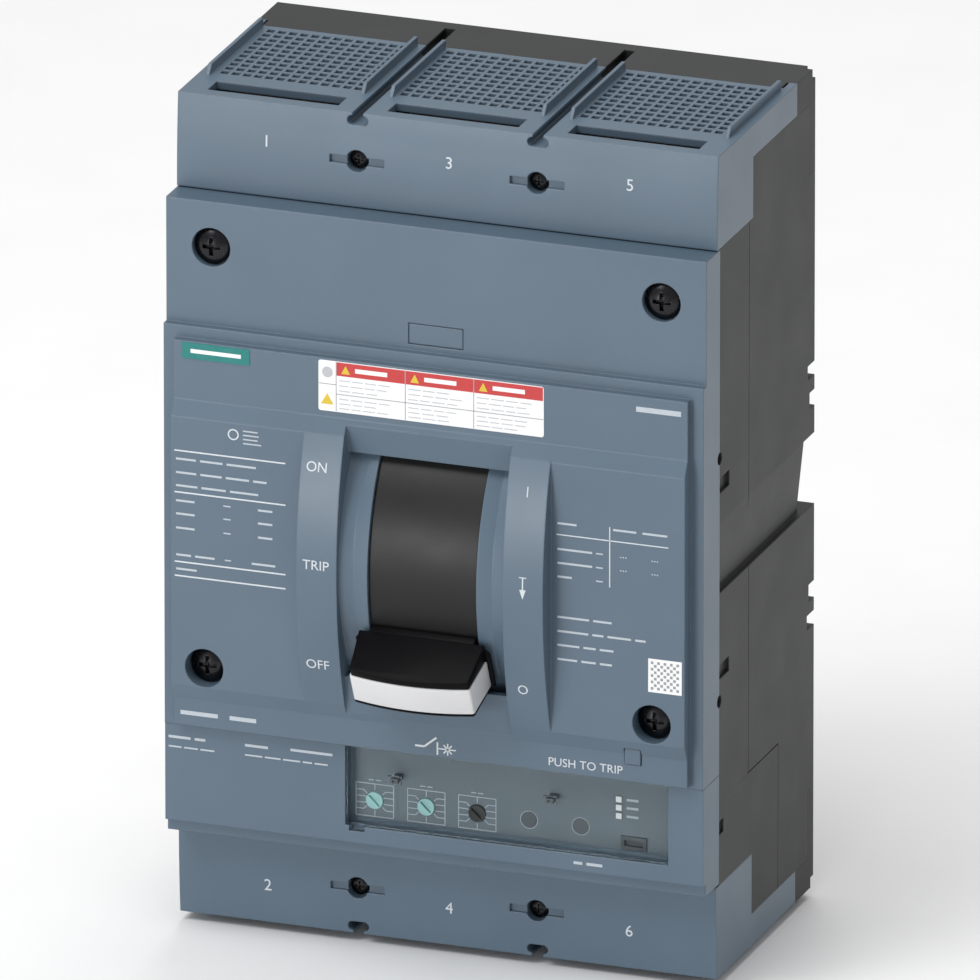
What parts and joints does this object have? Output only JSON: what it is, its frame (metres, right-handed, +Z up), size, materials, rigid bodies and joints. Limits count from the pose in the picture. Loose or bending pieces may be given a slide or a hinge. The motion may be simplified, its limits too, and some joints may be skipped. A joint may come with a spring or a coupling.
{
  "type": "molded case breaker",
  "caption": "Molded case circuit breaker with front toggle, push-to-trip button, adjustable electronic trip unit behind a clear window, and slotted terminal covers.",
  "frame": {"origin": "centre of the rear mounting face, midway between the four fixing holes", "axes": "+X to the right seen from the front, +Y out of the rear face towards the mounting plate, +Z up"},
  "size_m": [0.21, 0.1493, 0.3272],
  "materials": {
    "black_housing": "moulded, fine grain",
    "black_plate": "moulded, fine grain",
    "blue_grey_cover": "satin moulding",
    "blackened_screw": "glossy black",
    "zinc_steel": "zinc plated",
    "spring_steel": "bright",
    "handle_black": "satin",
    "cap_white": "satin",
    "shield_black": "matt",
    "red_brown_moulding": "moulded",
    "bearing_plastic": "moulded",
    "copper": "bright copper",
    "silver_tip": "silver alloy",
    "chute_steel": "plain steel",
    "chute_fibre": "vulcanised fibre",
    "transformer_case": "moulded",
    "panel_grey": "satin",
    "fittings_grey": "satin",
    "clear_window": "clear moulding",
    "circuit_board": "solder mask",
    "dial_teal": "satin",
    "dial_dark": "satin",
    "coil_body": "wound coil"
  },
  "bodies": {
    "housing": {"base_housing": "black_housing", "front_housing": "black_housing", "upper_rear_plate": "black_plate", "lower_rear_plate": "black_plate", "front_cover": "blue_grey_cover", "accessory_door": "blue_grey_cover", "upper_terminal_cover": "blue_grey_cover", "lower_terminal_cover": "blue_grey_cover", "terminal_cover_screws": "blackened_screw", "cover_screws": "blackened_screw", "housing_screws": "zinc_steel", "lever_pivot_pins": "zinc_steel", "mechanism_frame": "zinc_steel", "frame_spacers": "zinc_steel", "latch_cradle": "zinc_steel", "shaft_bearings": "bearing_plastic", "line_terminal_left": "copper", "line_terminal_centre": "copper", "line_terminal_right": "copper", "fixed_contact_tips": "silver_tip", "load_terminal_left": "copper", "load_terminal_centre": "copper", "load_terminal_right": "copper", "load_link_left": "copper", "load_link_centre": "copper", "load_link_right": "copper", "terminal_nuts": "zinc_steel", "arc_chute_left": "chute_steel", "arc_chute_centre": "chute_steel", "arc_chute_right": "chute_steel", "arc_chute_boards": "chute_fibre", "current_transformer_left": "transformer_case", "current_transformer_centre": "transformer_case", "current_transformer_right": "transformer_case", "trip_unit_housing": "black_housing", "trip_unit_cover": "blue_grey_cover", "trip_unit_panel": "panel_grey", "trip_unit_board": "circuit_board", "panel_fittings": "fittings_grey", "trip_actuator": "coil_body", "trip_button_spring": "spring_steel"},
    "toggle": {"toggle_handle": "handle_black", "handle_cap": "cap_white", "toggle_shield": "shield_black", "toggle_yoke": "zinc_steel", "main_springs": "spring_steel"},
    "contacts": {"contact_shaft": "red_brown_moulding", "moving_contact_left": "copper", "moving_contact_centre": "copper", "moving_contact_right": "copper", "moving_contact_tips": "silver_tip"},
    "upper_link_pair": {"upper_links": "zinc_steel"},
    "lower_link_pair": {"lower_links": "zinc_steel"},
    "trip_bar_body": {"trip_bar": "bearing_plastic"},
    "push_button": {"trip_button": "blue_grey_cover"},
    "window": {"trip_unit_window": "clear_window"},
    "dial_1": {"dial_overload": "dial_teal"},
    "dial_2": {"dial_delay": "dial_teal"},
    "dial_3": {"dial_short_circuit": "dial_dark"},
    "plunger": {"actuator_plunger": "zinc_steel"}
  },
  "joints": [
    {"name": "toggle_hinge", "type": "hinge", "parent": "housing", "child": "toggle", "pos_m": [0, -0.0586, -0.0102], "axis": [-1, 0, 0], "range_deg": [0, 49], "deforming": ["main_springs"]},
    {"name": "contact_hinge", "type": "hinge", "parent": "housing", "child": "contacts", "pos_m": [0, -0.044, -0.026], "axis": [-1, 0, 0], "range_deg": [0, 38.1]},
    {"name": "upper_link_hinge", "type": "hinge", "parent": "housing", "child": "upper_link_pair", "pos_m": [0, -0.082, -0.006], "axis": [-1, 0, 0], "range_deg": [0, 22.3]},
    {"name": "lower_link_hinge", "type": "hinge", "parent": "contacts", "child": "lower_link_pair", "pos_m": [0, -0.05508, -0.01182], "axis": [-1, 0, 0], "range_deg": [-81, 0]},
    {"name": "button_slide", "type": "slide", "parent": "housing", "child": "push_button", "axis": [0, 1, 0], "range_m": [0, 0.003], "stiffness_N_per_m": 300, "springref_m": -0.002, "deforming": ["trip_button_spring"]},
    {"name": "trip_bar_hinge", "type": "hinge", "parent": "housing", "child": "trip_bar_body", "pos_m": [0, -0.094, -0.083], "axis": [-1, 0, 0], "range_deg": [0, 12.1]},
    {"name": "window_hinge", "type": "hinge", "parent": "housing", "child": "window", "pos_m": [0.02845, -0.1194, -0.0823], "axis": [-1, 0, 0], "range_deg": [0, 90]},
    {"name": "plunger_slide", "type": "slide", "parent": "housing", "child": "plunger", "axis": [0, 0, -1], "range_m": [0, 0.003], "stiffness_N_per_m": 200, "springref_m": -0.002},
    {"name": "dial_1_hinge", "type": "hinge", "parent": "housing", "child": "dial_1", "pos_m": [-0.0252, -0.1142, -0.1032], "axis": [0, -1, 0], "range_deg": [-135, 135]},
    {"name": "dial_2_hinge", "type": "hinge", "parent": "housing", "child": "dial_2", "pos_m": [-0.0051, -0.1142, -0.1032], "axis": [0, -1, 0], "range_deg": [-135, 135]},
    {"name": "dial_3_hinge", "type": "hinge", "parent": "housing", "child": "dial_3", "pos_m": [0.0148, -0.1142, -0.1032], "axis": [0, -1, 0], "range_deg": [-135, 135]}
  ],
  "couplings": [
    {"joint": "contact_hinge", "follows": "toggle_hinge", "ratio": 0.77551},
    {"joint": "upper_link_hinge", "follows": "toggle_hinge", "ratio": 0.45184},
    {"joint": "lower_link_hinge", "follows": "toggle_hinge", "ratio": -1.6478},
    {"joint": "trip_bar_hinge", "follows": "button_slide", "rad_per_m": 69.8}
  ]
}
